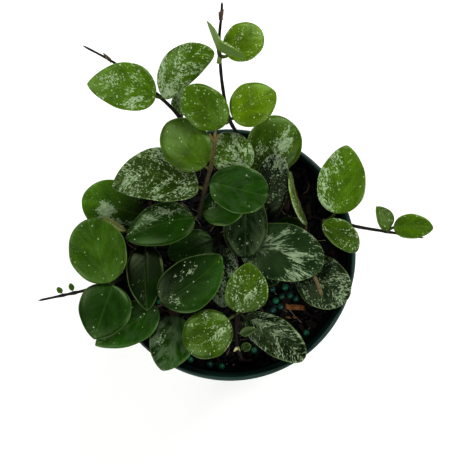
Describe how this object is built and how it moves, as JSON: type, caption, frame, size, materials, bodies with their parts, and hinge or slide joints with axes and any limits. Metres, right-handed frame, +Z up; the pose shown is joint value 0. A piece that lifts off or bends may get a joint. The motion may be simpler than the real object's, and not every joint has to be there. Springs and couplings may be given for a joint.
{
  "type": "potted mathilde hoya",
  "caption": "Small trailing plant with oval leathery leaves on thin vines, growing in a round tapered nursery pot filled with bark mix.",
  "frame": {"origin": "centre of the underside of the pot's foot, on the surface that the pot stands on", "axes": "+Z up along the pot's axis; -Y is the front of the pot, the lower edge of a view from straight above; +X to the right in that view"},
  "size_m": [0.196, 0.1827, 0.1695],
  "materials": {
    "pot_plastic": "satin dark green moulded polypropylene",
    "potting_mix": "dark damp bark mix with orange-brown chips and blue-green prills",
    "hoya_vine": "leathery green leaves with silver splashes, on dark stems"
  },
  "bodies": {
    "root": {"pot": "pot_plastic", "potting_mix": "potting_mix", "vine_upper_left": "hoya_vine", "vine_top_runner": "hoya_vine", "vine_upright": "hoya_vine", "vine_right_runner": "hoya_vine", "vine_left_runner": "hoya_vine", "vine_lower_centre": "hoya_vine", "vine_lower_left": "hoya_vine", "vine_right_low": "hoya_vine", "vine_right_deep": "hoya_vine", "vine_middle_deep": "hoya_vine", "vine_left_deep": "hoya_vine"}
  },
  "joints": []
}
